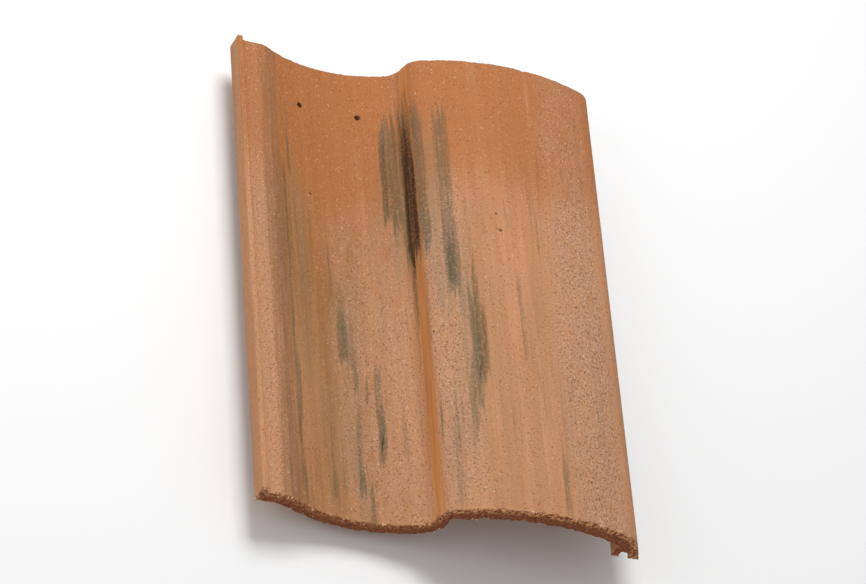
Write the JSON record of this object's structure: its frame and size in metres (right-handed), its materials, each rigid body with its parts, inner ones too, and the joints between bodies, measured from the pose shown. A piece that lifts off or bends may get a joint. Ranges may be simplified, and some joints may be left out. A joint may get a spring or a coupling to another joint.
{
  "type": "clay roof tile",
  "caption": "S-profile clay roof tile with a curved water pan, rolled crown, grooved side lap, hanging lugs under the head and nail holes.",
  "frame": {"origin": "middle of the tile's outline, at the level of the feet it lies on", "axes": "+Y up the roof slope from the nose to the head, +X across the roof from the shelf to the lap wall, +Z out of the roof"},
  "size_m": [0.3078, 0.432, 0.0755],
  "materials": {
    "fired_clay": "sand-faced fired clay with dark smoke streaks"
  },
  "bodies": {
    "root": {"roof_tile": "fired_clay"}
  },
  "joints": []
}
